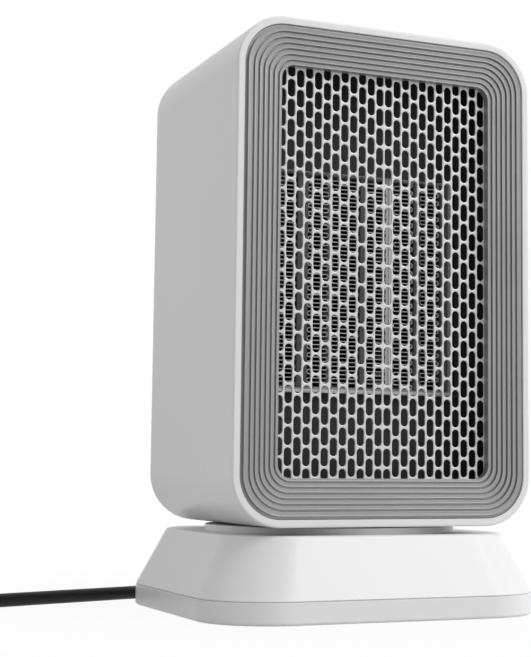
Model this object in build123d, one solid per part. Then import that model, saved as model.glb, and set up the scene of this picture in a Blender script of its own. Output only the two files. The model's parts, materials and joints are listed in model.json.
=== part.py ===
from build123d import *
import math
import os

# A free-standing ceramic space heater: a tall rounded head that swings on a low base.
# Millimetres. +X is the heater's left-to-right seen from the front, the outlet faces -Y, +Z is up.
# The origin is on the floor, under the middle of the base.

# ---- Head: outer shell ------------------------------------------------------------------------
head_width = 140.4
head_depth = 123.6
head_height = 216.0
head_corner_radius = 21.8
head_rear_radius = 12.0
shell_wall = 2.4
rim_width = 3.5
rim_depth = 9.0
rim_edge_break = 0.7

# ---- Head: stepped bezel and slotted grille ---------------------------------------------------
bezel_recess = 0.6
band_count = 7
band_pitch = 2.36
band_groove = 0.5
band_groove_depth = 0.9
band_step = 0.22
window_corner_radius = 6.0
bezel_thickness = 8.0
grille_recess = 5.0
grille_thickness = 1.2
grille_lap = 2.0
slot_column_pitch = 4.18
slot_row_pitch = 8.74
slot_width = 2.9
slot_height = 7.2

# ---- Head: rear cover -------------------------------------------------------------------------
rear_cover_width = 108.0
rear_cover_height = 180.0
rear_cover_radius = 14.0
rear_cover_thickness = 2.4
rear_ledge = 5.0
louvre_count = 17
louvre_pitch = 8.0
louvre_height = 3.6
louvre_width = 84.0
louvre_stile = 4.0
rear_screw_head_radius = 2.8

# ---- Head: heating element and its carrier ----------------------------------------------------
core_width = 90.0
core_height = 98.0
core_depth = 15.0
core_recess = 26.0
core_frame_wall = 4.5
core_ledge = 5.0
bar_spacing = 13.4
bar_width = 3.2
bar_count = 5
fin_set_back = 0.8
fin_reach = 1.2
fin_period = 8.2
fin_wave = 3.0
carrier_thickness = 2.5
carrier_collar = 2.0
carrier_lead = 1.5
cutout_radius = 5.0
cutout_height = 5.4
cutout_neck_radius = 3.0
cutout_neck_height = 3.6
cutout_inset = 1.0

# ---- Head: fan --------------------------------------------------------------------------------
rotor_radius = 47.0
rotor_depth = 20.0
hub_radius = 17.0
blade_count = 7
blade_thickness = 1.6
blade_pitch_angle = 36.0
blade_camber = 3.0
fan_gap = 2.0
shroud_wall = 2.2
shroud_depth = 26.0
shroud_recess = 54.0
rotor_inset = 3.0
wire_room = 4.0
hub_boss_wall = 3.0
blade_root = 1.0
fan_motor_radius = 19.0
fan_motor_length = 26.0
fan_motor_gap = 3.0
fan_motor_nose_radius = 8.6
fan_motor_nose = 2.0
fan_motor_tail_radius = 11.4
fan_motor_tail = 3.0
fan_shaft_radius = 1.6
fan_shaft_inset = 0.5
motor_arm_width = 8.0
motor_arm_thickness = 3.0
motor_arm_count = 4

# ---- Head: controls on top --------------------------------------------------------------------
panel_width = 84.0
panel_depth = 24.0
panel_thickness = 1.4
panel_setback = 30.0
button_radius = 6.0
button_spacing = 25.0
button_proud = 1.2
button_edge_break = 0.4
button_travel = 1.0
button_stem_radius = 2.0
button_flange = 1.2
button_flange_thickness = 1.0
lamp_radius = 1.1
lamp_offset = 9.0
lamp_proud = 0.1
board_thickness = 1.6
board_drop = 11.0
board_length = 76.0
board_depth = 21.0
board_post_radius = 1.8
board_post_x = 34.0
board_post_y = 7.0
switch_size = 6.0
switch_height = 2.5
switch_pin_radius = 1.6
switch_pin = 1.0
power_board_width = 86.0
power_board_height = 40.0
power_board_lift = 10.0
power_post_radius = 2.5
power_post_length = 4.0
power_post_inset = 5.0
relay_width = 19.0
relay_height = 15.5
relay_depth = 15.0
relay_spots = (-26.0, 0.0)
capacitor_radius = 6.0
capacitor_length = 16.0
capacitor_x = 26.0

# ---- Turntable --------------------------------------------------------------------------------
head_lift = 39.14
disc_radius = 57.0
disc_gap = 0.6
spindle_radius = 16.0
spindle_bore = 11.5
spindle_flange_radius = 30.0
spindle_flange_thickness = 3.0
spindle_flat = 1.2
bush_wall = 2.5
bush_flange = 5.0
bush_reach = 2.0
washer_wall = 5.2
gear_module = 1.0
gear_teeth = 48
pinion_teeth = 16
gear_sector_teeth = 15
gear_thickness = 5.0
gear_hub_wall = 3.0
pinion_overlap = 0.5
pinion_roof = 1.0
gear_clip_radius = 19.0
gear_clip_thickness = 1.2
clip_groove = 1.6
gear_backlash = 0.3

# ---- Base -------------------------------------------------------------------------------------
base_width = 156.0
base_depth = 146.0
base_corner_radius = 32.0
band_top = 9.4
seam_gap = 0.35
plateau_width = 130.6
plateau_depth = 123.2
plateau_radius = 26.0
plateau_height = 35.8
base_wall = 2.4
base_edge_break = 0.6
tray_floor = 2.2
foot_radius = 7.0
foot_proud = 0.8
foot_thickness = 2.2
foot_inset_x = 52.0
foot_inset_y = 47.0
boss_radius = 4.0
base_boss_x = 54.0
base_boss_y = 32.0
swing_motor_radius = 17.0
swing_motor_height = 20.0
swing_motor_ear = 22.0
swing_motor_ear_drop = 3.0
swing_motor_ear_width = 7.0
swing_motor_ear_thickness = 1.0
motor_post_radius = 2.6
motor_screw_radius = 1.2
motor_screw_head_radius = 2.4
motor_screw_head_height = 1.5
motor_screw_end = 3.0
swing_shaft_radius = 2.5
swing_shaft_sink = 4.0
tip_switch_x = -38.0
tip_switch_y = 28.0
tip_plunger_radius = 2.5
tip_plunger_travel = 4.0
tip_plunger_length = 16.0
tip_plunger_collar = 1.5
tip_plunger_collar_thickness = 2.0
tip_switch_width = 14.0
tip_switch_depth = 8.4
tip_switch_height = 12.0
tip_switch_leg = 2.0

# ---- Screws -----------------------------------------------------------------------------------
screw_radius = 1.5
screw_head_radius = 3.0
screw_head_height = 1.8
screw_length = 12.0
screw_end_room = 1.0
screw_recess = 0.4

# ---- Mains lead -------------------------------------------------------------------------------
cord_radius = 3.1
cord_floor_gap = 0.05
relief_x = 37.0
relief_neck_radius = 4.0
relief_collar_radius = 5.4
relief_collar_thickness = 2.0
relief_root_radius = 4.8
relief_tip_radius = 3.6
relief_bend_radius = 26.0
relief_turn = 75.0
relief_ribs = 5
relief_rib_rise = 0.5
coil_x = -183.4
coil_y = 83.0
coil_mean_radius = 36.0
coil_section_width = 18.8
coil_section_height = 12.6
plug_turn = -30.0
plug_offset = 26.0
plug_rear = 9.0
plug_length = 30.0
plug_width = 24.0
plug_height = 16.0
plug_taper = 3.0
plug_edge = 4.0
plug_tail_length = 14.0
plug_tail_root = 4.6
plug_tail_tip = 3.5
plug_blade_length = 17.5
plug_blade_spacing = 12.7
plug_blade_width = 6.6
plug_blade_thickness = 1.5

# ---- Clearances -------------------------------------------------------------------------------
fit_gap = 0.3
slip_gap = 0.15
run_gap = 0.06

# ---- Places worked out from the sizes ---------------------------------------------------------
head_front = -head_depth / 2
head_rear = head_depth / 2
head_bottom = head_lift
head_top = head_lift + head_height
head_centre = head_lift + head_height / 2
inner_width = head_width - 2 * shell_wall
inner_height = head_height - 2 * shell_wall
inner_radius = head_corner_radius - shell_wall
rear_screw_reach = 3 * rear_cover_thickness
window_inset = rim_width + slip_gap + band_count * band_pitch
window_width = head_width - 2 * window_inset
window_height = head_height - 2 * window_inset
core_front = head_front + core_recess
shroud_front = head_front + shroud_recess
rotor_front = shroud_front + rotor_inset
fan_motor_front = rotor_front + rotor_depth + fan_motor_gap
plunger_hole_radius = tip_plunger_radius + run_gap
gear_radius = gear_module * gear_teeth / 2
pinion_radius = gear_module * pinion_teeth / 2
gear_centres = gear_radius + pinion_radius
tray_top = foot_proud + tray_floor
base_ceiling = plateau_height - base_wall
bush_low = base_ceiling - bush_reach
gear_top = bush_low - fit_gap
gear_bottom = gear_top - gear_thickness
spindle_bottom = gear_bottom - gear_clip_thickness
motor_bottom = tray_top + fit_gap
motor_top = motor_bottom + swing_motor_height
relief_height = band_top - seam_gap / 2
base_lean = (base_depth - plateau_depth) / 2 / (plateau_height - band_top)
relief_tip_height = relief_tip_radius + cord_floor_gap + 0.05
ear_low = motor_top - swing_motor_ear_drop

os.makedirs("parts", exist_ok=True)


def save(name, shape):
    """Writes one sub-part as parts/NAME.step."""
    export_step(shape, f"parts/{name}.step")


def upright(y):
    """A plane facing the front at depth y, centred on the head: local x is +X, local y is +Z."""
    return Plane(origin=(0, y, head_centre), x_dir=(1, 0, 0), z_dir=(0, -1, 0))


def slab(sketch, y_front, y_rear):
    """A front-facing sketch given depth from y_front back to y_rear."""
    return extrude(upright(y_rear) * sketch, y_rear - y_front)


def tier(sketch, z_low, z_high):
    """A floor-plan sketch given height from z_low up to z_high."""
    return extrude(Plane.XY.offset(z_low) * sketch, z_high - z_low)


def rod(radius, z_low, z_high, x=0.0, y=0.0):
    """An upright round bar."""
    return tier(Pos(x, y) * Circle(radius), z_low, z_high)


def group(solids):
    """Several separate solids kept together in one sub-part."""
    return Compound(children=list(solids))


def mirrored_spots(x, y):
    """The four spots at plus and minus x and y."""
    return [(sx * x, sy * y) for sx in (-1, 1) for sy in (-1, 1)]


# ---- Head shell -------------------------------------------------------------------------------
def head_shell():
    """The wrap-round housing: open behind the bezel, with a ledged opening for the rear cover."""
    outer = slab(RectangleRounded(head_width, head_height, head_corner_radius), head_front, head_rear)
    rear_edges = outer.edges().group_by(Axis.Y)[-1]
    outer = fillet(rear_edges, head_rear_radius)
    front_edges = outer.edges().group_by(Axis.Y)[0]
    outer = chamfer(front_edges, rim_edge_break)
    mouth = RectangleRounded(
        head_width - 2 * rim_width, head_height - 2 * rim_width, head_corner_radius - rim_width
    )
    cavity = slab(
        RectangleRounded(inner_width, inner_height, inner_radius),
        head_front + rim_depth,
        head_rear - 2 * rear_cover_thickness,
    )
    cavity = chamfer(cavity.edges().group_by(Axis.Y)[-1], (head_rear_radius - shell_wall) * 0.6)
    shell = outer - cavity - slab(mouth, head_front, head_front + rim_depth)
    shell -= slab(rear_opening(slip_gap), head_rear - rear_cover_thickness, head_rear)
    shell -= slab(rear_opening(-rear_ledge), head_rear - rear_screw_reach, head_rear)
    shell -= rod(spindle_radius + fit_gap, head_bottom, head_bottom + shell_wall)
    for x, y in mirrored_spots(spindle_screw_ring, spindle_screw_ring):
        shell -= rod(screw_radius + run_gap, head_bottom, head_bottom + shell_wall, x, y)
    shell -= tier(panel_outline(slip_gap), head_top - panel_thickness, head_top)
    shell -= tier(panel_outline(-2 * slip_gap - 1.5), head_top - shell_wall, head_top)
    hole = Circle(screw_radius + run_gap)
    for x, z in rear_screw_spots():
        shell -= slab(Pos(x, z) * hole, head_rear - rear_screw_reach, head_rear)
    return shell


def rear_opening(grow):
    """The rear cover's outline, larger or smaller by grow on every side."""
    return RectangleRounded(rear_cover_width + 2 * grow, rear_cover_height + 2 * grow, rear_cover_radius + grow)


def panel_outline(grow):
    """The control panel's rounded plan, larger or smaller by grow on every side."""
    return Pos(0, head_front + panel_setback + panel_depth / 2) * RectangleRounded(
        panel_width + 2 * grow, panel_depth + 2 * grow, panel_depth / 2 + grow - 0.01
    )


def rear_screw_spots():
    """The rear cover's four screw places, from the head's centre."""
    inset = rear_ledge / 2 + 0.8
    corner = rear_cover_radius / 2
    return mirrored_spots(rear_cover_width / 2 - inset, rear_cover_height / 2 - inset - corner)


# The spindle flange's four screws stand on a square inside its rim.
spindle_screw_ring = (spindle_radius + spindle_flange_radius) / 2 / math.sqrt(2)


# ---- Bezel and grille -------------------------------------------------------------------------
def bezel_outline(inset):
    """The bezel's rounded rectangle, inset from the head's outline; its corners tighten inwards."""
    share = (inset - rim_width) / (window_inset - rim_width)
    outer_radius = head_corner_radius - rim_width
    radius = outer_radius + (window_corner_radius - outer_radius) * share
    return RectangleRounded(head_width - 2 * inset, head_height - 2 * inset, radius)


def front_bezel():
    """Concentric stepped bands with a groove before each, sinking towards the window."""
    back = head_front + bezel_thickness
    outer_inset = rim_width + slip_gap
    floor_front = head_front + bezel_recess + band_count * band_step + band_groove_depth
    bezel = slab(bezel_outline(outer_inset) - bezel_outline(window_inset), floor_front, back)
    for band in range(band_count):
        inset = outer_inset + band * band_pitch
        face = bezel_outline(inset + band_groove) - bezel_outline(inset + band_pitch)
        front = head_front + bezel_recess + band * band_step
        bezel += slab(face, front, floor_front)
    lap = grille_lap + slip_gap
    rebate = RectangleRounded(
        window_width + 2 * lap, window_height + 2 * lap, window_corner_radius + lap
    )
    bezel -= slab(rebate, head_front + grille_recess, back)
    return bezel


def front_grille():
    """A thin plate of upright slots; each column stands half a pitch from its neighbour."""
    plate = RectangleRounded(
        window_width + 2 * grille_lap, window_height + 2 * grille_lap, window_corner_radius + grille_lap
    )
    pairs = int((window_width - slot_width) / 2 / slot_column_pitch + 0.5)
    slots = []
    for column in range(pairs):
        x = (column + 0.5) * slot_column_pitch
        top = slot_reach(x)
        shift = 0.0 if column % 2 == 0 else slot_row_pitch / 2
        rows = int(top / slot_row_pitch) + 1
        for row in range(-rows, rows + 1):
            low = max(row * slot_row_pitch + shift - slot_height / 2, -top)
            high = min(row * slot_row_pitch + shift + slot_height / 2, top)
            if high - low > slot_width:
                slots += [(side * x, low, high) for side in (-1, 1)]
    holes = [slot_wire(x, low, high) for x, low, high in slots]
    face = Face(plate.face().outer_wire(), holes)
    return slab(face, head_front + grille_recess, head_front + grille_recess + grille_thickness)


def slot_reach(x):
    """How far from the middle a slot at x may run and stay inside the plate's rounded corner."""
    over = x + slot_width / 2 - (window_width / 2 - window_corner_radius)
    if over <= 0:
        return window_height / 2
    radius = window_corner_radius + grille_lap / 2
    return min(window_height / 2, window_height / 2 - window_corner_radius + math.sqrt(radius**2 - over**2))


def slot_wire(x, low, high):
    """One slot's outline, with plain ends."""
    half = slot_width / 2
    corners = [(x - half, low), (x + half, low), (x + half, high), (x - half, high)]
    return Wire.make_polygon([Vector(a, b) for a, b in corners], close=True)


# ---- Rear cover -------------------------------------------------------------------------------
def rear_cover():
    """The intake cover: a flush panel with rows of flat louvres that widen towards the middle."""
    panel = rear_opening(0.0)
    for row in range(louvre_count):
        z = (row - (louvre_count - 1) / 2) * louvre_pitch
        panel -= Pos(0, z) * Rectangle(louvre_width, louvre_height)
    cover = slab(panel, head_rear - rear_cover_thickness, head_rear)
    stile = slab(
        Rectangle(louvre_stile, louvre_count * louvre_pitch), head_rear - rear_cover_thickness, head_rear
    )
    cover += stile
    for x, z in rear_screw_spots():
        cover -= slab(Pos(x, z) * Circle(screw_radius + run_gap), head_rear - rear_cover_thickness, head_rear)
    return cover


def rear_screws():
    """Four screws through the rear cover into the shell's ledge."""
    made = []
    for x, z in rear_screw_spots():
        shank = slab(Pos(x, z) * Circle(screw_radius), head_rear - rear_screw_reach, head_rear)
        head = slab(Pos(x, z) * Circle(rear_screw_head_radius), head_rear, head_rear + screw_head_height / 2)
        made.append(shank + head)
    return group(made)


# ---- Heating element --------------------------------------------------------------------------
def heater_carrier():
    """A baffle across the head with a collar that holds the heating element."""
    plate = RectangleRounded(
        inner_width - 2 * fit_gap, inner_height - 2 * fit_gap, inner_radius - fit_gap
    )
    seat = Rectangle(core_width + 2 * slip_gap, core_height + 2 * slip_gap)
    rim = Rectangle(
        core_width + 2 * slip_gap + 2 * carrier_collar, core_height + 2 * slip_gap + 2 * carrier_collar
    )
    front = core_front + carrier_lead
    carrier = slab(plate - seat, front, front + carrier_thickness)
    carrier += slab(rim - seat, core_front - carrier_lead, core_front + core_depth)
    return carrier


def core_frame():
    """The element's metal frame: two side channels and a ledge along the top and the bottom."""
    outside = Rectangle(core_width, core_height)
    inside = Rectangle(core_width - 2 * core_frame_wall, core_height - 2 * core_ledge)
    return slab(outside - inside, core_front, core_front + core_depth)


def bar_places():
    """The x of each upright bar, evenly spaced about the middle."""
    return [(i - (bar_count - 1) / 2) * bar_spacing for i in range(bar_count)]


def core_bars(first, step):
    """Upright bars between the frame's ledges: every step-th one, starting with the first."""
    tall = core_height - 2 * core_ledge - 2 * run_gap
    return group(
        slab(Pos(x, 0) * Rectangle(bar_width, tall), core_front, core_front + core_depth)
        for x in bar_places()[first::step]
    )


def fin_packs():
    """Six packs of folded fins, one on each side of every bar, drawn with a coarse fold."""
    tall = core_height - 2 * core_ledge - 2 * run_gap
    edge = core_width / 2 - core_frame_wall
    walls = [-edge] + bar_places() + [edge]
    packs = []
    for i, (left, right) in enumerate(zip(walls, walls[1:])):
        low = left + (run_gap if i == 0 else bar_width / 2 + run_gap)
        high = right - (run_gap if i == bar_count else bar_width / 2 + run_gap)
        pack = slab(
            Pos((low + high) / 2, 0) * Rectangle(high - low, tall),
            core_front + fin_set_back + fin_reach,
            core_front + core_depth - fin_set_back,
        )
        folds = int(tall / fin_period)
        for fold in range(folds):
            z = (fold - (folds - 1) / 2) * tall / folds
            pack += slab(
                Pos((low + high) / 2, z) * Rectangle(high - low, fin_wave),
                core_front + fin_set_back,
                core_front + fin_set_back + fin_reach,
            )
        packs.append(pack)
    return group(packs)


def thermal_cutout():
    """A round bimetal cut-out on the top of the carrier's collar."""
    low = head_centre + core_height / 2 + slip_gap + carrier_collar + slip_gap
    y = core_front + core_depth - cutout_radius - cutout_inset
    top = low + cutout_height
    return rod(cutout_radius, low, top, 0, y) + rod(cutout_neck_radius, top, top + cutout_neck_height, 0, y)


# ---- Fan --------------------------------------------------------------------------------------
def fan_shroud():
    """A baffle with a round tunnel for the fan."""
    plate = RectangleRounded(
        inner_width - 2 * fit_gap, inner_height - 2 * fit_gap, inner_radius - fit_gap
    )
    tunnel = Circle(rotor_radius + fan_gap)
    ring = Circle(rotor_radius + fan_gap + shroud_wall)
    shroud = slab(plate - tunnel, shroud_front, shroud_front + carrier_thickness)
    shroud += slab(ring - tunnel, shroud_front, shroud_front + shroud_depth)
    passage_width = 2 * (spindle_flange_radius + fit_gap)
    passage_top = head_bottom + shell_wall + spindle_flange_thickness + screw_head_height + wire_room
    passage = Pos(0, shroud_front, head_bottom) * Box(
        passage_width, 4 * carrier_thickness, 2 * (passage_top - head_bottom)
    )
    return shroud - passage


def impeller():
    """The axial rotor: a cup-shaped hub with cambered blades set at a pitch."""
    hub = slab(Circle(hub_radius), rotor_front, rotor_front + rotor_depth)
    hub -= slab(
        Circle(hub_radius - shell_wall), rotor_front + shell_wall, rotor_front + rotor_depth
    )
    hub += slab(Circle(fan_shaft_radius + hub_boss_wall), rotor_front, rotor_front + rotor_depth / 2)
    rotor = hub
    chord = rotor_depth / math.sin(math.radians(blade_pitch_angle)) - blade_thickness
    half = chord * 0.46
    low = -blade_thickness
    face_arc = ThreePointArc((-half, 0), (0, blade_camber), (half, 0))
    back_arc = ThreePointArc((half, low), (0, blade_camber + low), (-half, low))
    profile = make_face([face_arc, Line((half, 0), (half, low)), back_arc, Line((-half, low), (-half, 0))])
    span = rotor_radius - hub_radius + blade_root
    mid = rotor_front + rotor_depth / 2
    for i in range(blade_count):
        turn = 360 / blade_count * i
        blade = Pos(0, 0, hub_radius - blade_root) * extrude(Rot(0, 0, blade_pitch_angle) * profile, span)
        rotor += Pos(0, mid, head_centre) * Rot(0, turn, 0) * blade
    rotor -= slab(Circle(fan_shaft_radius + run_gap / 2), rotor_front, rotor_front + rotor_depth)
    return rotor


def fan_shaft():
    """The motor's shaft, from the rotor's nose to the motor's rear bearing."""
    rear = fan_motor_front + fan_motor_length - shell_wall
    return slab(Circle(fan_shaft_radius), rotor_front + fan_shaft_inset, rear)


def fan_motor():
    """A round can motor behind the rotor, bored for its shaft."""
    rear = fan_motor_front + fan_motor_length
    can = slab(Circle(fan_motor_radius), fan_motor_front + fan_motor_nose, rear - fan_motor_tail)
    can += slab(Circle(fan_motor_nose_radius), fan_motor_front, fan_motor_front + fan_motor_nose)
    can += slab(Circle(fan_motor_tail_radius), rear - fan_motor_tail, rear)
    return can - slab(Circle(fan_shaft_radius + run_gap), fan_motor_front, rear - shell_wall + fit_gap)


def motor_bracket():
    """A spider that carries the motor from the shroud's rear edge."""
    rear = shroud_front + shroud_depth
    reach = rotor_radius + fan_gap + shroud_wall
    front = rear + run_gap
    collar = Circle(fan_motor_radius + shroud_wall + run_gap) - Circle(fan_motor_radius + run_gap)
    bracket = slab(collar, front, front + motor_arm_thickness * 2)
    for i in range(motor_arm_count):
        middle = (reach + fan_motor_radius + run_gap + shroud_wall / 2) / 2
        length = reach - fan_motor_radius - run_gap - shroud_wall / 2
        arm = Rot(0, 0, 45 + i * 360 / motor_arm_count) * Pos(middle, 0) * Rectangle(length, motor_arm_width)
        bracket += slab(arm, front, front + motor_arm_thickness)
    return bracket


# ---- Controls ---------------------------------------------------------------------------------
def button_places():
    """The three push buttons' x places along the control panel."""
    return {"power": -button_spacing, "heat": 0.0, "swing": button_spacing}


panel_y = head_front + panel_setback + panel_depth / 2
board_top = head_top - board_drop
switch_top = board_top + switch_height + switch_pin
button_low = switch_top + button_travel + fit_gap


def control_panel():
    """The inlay on top with a hole for each button and a lamp hole behind it."""
    panel = panel_outline(0)
    for x in button_places().values():
        panel -= Pos(x, panel_y) * Circle(button_radius + fit_gap)
        panel -= Pos(x, panel_y + lamp_offset) * Circle(lamp_radius + run_gap)
    return tier(panel, head_top - panel_thickness, head_top)


def push_button(x):
    """A round cap with a flange that stops it under the panel, and a stem over its switch."""
    cap_low = head_top - panel_thickness - button_flange_thickness - fit_gap
    cap = rod(button_radius, cap_low, head_top + button_proud, x, panel_y)
    cap = chamfer(cap.edges().group_by(Axis.Z)[-1], button_edge_break)
    flange = rod(button_radius + button_flange, cap_low, cap_low + button_flange_thickness, x, panel_y)
    stem = rod(button_stem_radius, button_low, cap_low, x, panel_y)
    return cap + flange + stem


def lamp_lenses():
    """One small round lens behind each button."""
    return group(
        rod(lamp_radius, head_top - panel_thickness, head_top + lamp_proud, x, panel_y + lamp_offset)
        for x in button_places().values()
    )


def control_board():
    """The switch board on two posts under the control panel."""
    plate = Pos(0, panel_y) * Rectangle(board_length, board_depth)
    board = tier(plate, board_top - board_thickness, board_top)
    for x, y in mirrored_spots(board_post_x, board_post_y):
        board += rod(board_post_radius, board_top, head_top - shell_wall - fit_gap, x, panel_y + y)
    return board


def board_switches():
    """One tactile switch under each button's stem."""
    made = []
    for x in button_places().values():
        pin_low = board_top + switch_height
        body = tier(Pos(x, panel_y) * Rectangle(switch_size, switch_size), board_top, pin_low)
        made.append(body + rod(switch_pin_radius, pin_low, switch_top, x, panel_y))
    return group(made)


power_board_front = core_front + carrier_lead + carrier_thickness + power_post_length
power_board_middle = head_bottom + shell_wall + power_board_lift + power_board_height / 2


def power_board():
    """The relay board, upright behind the heater carrier below the element."""
    board = Pos(0, power_board_front + board_thickness / 2, power_board_middle) * Box(
        power_board_width, board_thickness, power_board_height
    )
    spot_x = power_board_width / 2 - power_post_inset
    spot_z = power_board_height / 2 - power_post_inset
    for x, z in mirrored_spots(spot_x, spot_z):
        post = Cylinder(power_post_radius, power_post_length - run_gap, rotation=(90, 0, 0))
        post_y = power_board_front - (power_post_length - run_gap) / 2
        board += Pos(x, post_y, power_board_middle + z) * post
    return board


def board_parts():
    """Two relays and a capacitor on the relay board."""
    y = power_board_front + board_thickness
    relay = Pos(0, y + relay_depth / 2, power_board_middle) * Box(relay_width, relay_depth, relay_height)
    can = Cylinder(capacitor_radius, capacitor_length, rotation=(90, 0, 0))
    can = Pos(capacitor_x, y + capacitor_length / 2, power_board_middle) * can
    return group([Pos(x) * relay for x in relay_spots] + [can])


# ---- Turntable --------------------------------------------------------------------------------
def spindle():
    """The head's hollow pivot: a flange inside the head and a tube down into the base."""
    low = head_bottom + shell_wall + run_gap
    body = rod(spindle_flange_radius, low, low + spindle_flange_thickness)
    body += rod(spindle_radius, spindle_bottom, low)
    body -= rod(spindle_bore, spindle_bottom, low + spindle_flange_thickness)
    for x, y in mirrored_spots(spindle_screw_ring, spindle_screw_ring):
        body -= rod(screw_radius + run_gap, low, low + spindle_flange_thickness, x, y)
    groove = Circle(spindle_radius) - Circle(spindle_radius - clip_groove)
    body -= tier(groove, spindle_bottom, spindle_bottom + gear_clip_thickness)
    return body - tier(Circle(spindle_radius) - flatted(0.0), spindle_bottom, gear_top)


def flatted(grow):
    """The spindle's section where the gear sits: round with a flat on each side."""
    across = 2 * (spindle_radius - spindle_flat + grow)
    return Circle(spindle_radius + grow) & Rectangle(across, 3 * spindle_radius)


def spindle_screws():
    """Four screws down through the spindle's flange into the head's floor."""
    low = head_bottom + slip_gap
    top = head_bottom + shell_wall + run_gap + spindle_flange_thickness
    made = []
    for x, y in mirrored_spots(spindle_screw_ring, spindle_screw_ring):
        head = rod(screw_head_radius, top, top + screw_head_height, x, y)
        made.append(head + rod(screw_radius, low, top, x, y))
    return group(made)


def turntable_disc():
    """The round plinth on the base that the head turns above."""
    hole = spindle_radius + bush_wall + bush_flange + slip_gap
    disc = Circle(disc_radius) - Circle(hole)
    plinth = tier(disc, plateau_height, head_bottom - disc_gap)
    return plinth


def pivot_bush():
    """A flanged bush in the base's roof; the spindle turns in it and the head rests on its flange."""
    bush = rod(spindle_radius + bush_wall, bush_low, plateau_height)
    bush += rod(spindle_radius + bush_wall + bush_flange, plateau_height, head_bottom - disc_gap)
    return bush - rod(spindle_radius + run_gap, bush_low, head_bottom)


def slip_ring():
    """The low-friction washer between the bush's flange and the head's floor."""
    bore = spindle_radius + fit_gap
    washer = Circle(bore + washer_wall) - Circle(bore)
    return tier(washer, head_bottom - disc_gap + run_gap, head_bottom - run_gap)


def involute_tooth(teeth, grow):
    """One tooth's flank points, tip upwards along +X, thinned by the backlash."""
    pitch = gear_module * teeth / 2
    root = pitch - 1.15 * gear_module
    tip = pitch + 0.9 * gear_module + grow
    pressure = math.radians(20)
    base = pitch * math.cos(pressure)
    half_at_pitch = math.pi / teeth / 2 - gear_backlash / 4 / pitch

    def roll(radius):
        """The involute's polar angle at a radius."""
        angle = math.acos(min(1.0, base / radius))
        return math.tan(angle) - angle

    flank = []
    for radius in (max(root, base), pitch, tip):
        half = half_at_pitch + roll(pitch) - roll(radius)
        flank.append((radius, half))
    if root < base:
        flank.insert(0, (root, flank[0][1]))
    return flank


def gear_face(teeth, count, start_turn):
    """A toothed disc with the given number of teeth from start_turn on; the rest is its root circle."""
    flank = involute_tooth(teeth, 0.0)
    step = 2 * math.pi / teeth
    points = []
    for i in range(count):
        middle = math.radians(start_turn) + i * step
        for radius, half in flank:
            points.append((radius * math.cos(middle - half), radius * math.sin(middle - half)))
        for radius, half in reversed(flank):
            points.append((radius * math.cos(middle + half), radius * math.sin(middle + half)))
    if count < teeth:
        points.append((0, 0))
    return make_face(Polyline(*points, close=True))


def swing_gear():
    """The toothed sector on the spindle, facing the drive motor behind it."""
    span = (gear_sector_teeth - 1) * 360 / gear_teeth
    sector = gear_face(gear_teeth, gear_sector_teeth, 90 - span / 2)
    hub = Circle(spindle_radius + gear_hub_wall)
    gear = tier(sector + hub, gear_bottom, gear_bottom + gear_thickness)
    return gear - tier(flatted(run_gap / 2), gear_bottom, gear_bottom + gear_thickness)


def gear_clip():
    """The ring clip in the spindle's groove that keeps the gear on."""
    ring = Circle(gear_clip_radius) - Circle(spindle_radius - clip_groove + run_gap)
    return tier(ring, spindle_bottom, spindle_bottom + gear_clip_thickness - run_gap)


def swing_pinion():
    """The motor's pinion, a tooth gap facing the gear."""
    start = -90 + 180 / pinion_teeth
    pinion = gear_face(pinion_teeth, pinion_teeth, start)
    low = gear_bottom - pinion_overlap
    body = tier(pinion, low, gear_top + pinion_overlap)
    body -= rod(swing_shaft_radius + run_gap / 2, low, gear_top - pinion_roof)
    return Pos(0, gear_centres, 0) * body


def swing_shaft():
    """The drive motor's output shaft under the pinion."""
    high = gear_top - pinion_roof - run_gap
    return rod(swing_shaft_radius, motor_top - swing_shaft_sink, high, 0, gear_centres)


# ---- Base -------------------------------------------------------------------------------------
def base_loft(inset, z_low, z_high):
    """The base's sloped form between two heights, inset from its outer faces."""
    low_share = (z_low - band_top) / (plateau_height - band_top)
    high_share = (z_high - band_top) / (plateau_height - band_top)

    def section(share, z):
        """The rounded rectangle at one height."""
        width = base_width + (plateau_width - base_width) * share - 2 * inset
        depth = base_depth + (plateau_depth - base_depth) * share - 2 * inset
        radius = base_corner_radius + (plateau_radius - base_corner_radius) * share - inset
        return Plane.XY.offset(z) * RectangleRounded(width, depth, radius)

    return loft([section(low_share, z_low), section(high_share, z_high)], ruled=True)


def base_shell():
    """The sloped upper cover of the base, hollow below, with screw bosses and the pivot's hole."""
    shell = base_loft(0.0, band_top, plateau_height)
    shell = chamfer(shell.edges().group_by(Axis.Z)[-1], base_edge_break)
    shell -= base_loft(base_wall, band_top, base_ceiling)
    for x, y in mirrored_spots(base_boss_x, base_boss_y):
        shell += rod(boss_radius, band_top, base_ceiling, x, y)
        shell -= rod(screw_radius + run_gap, band_top, band_top + screw_length, x, y)
    shell -= rod(spindle_radius + bush_wall + run_gap, base_ceiling, plateau_height)
    return shell - relief_notch()


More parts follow.
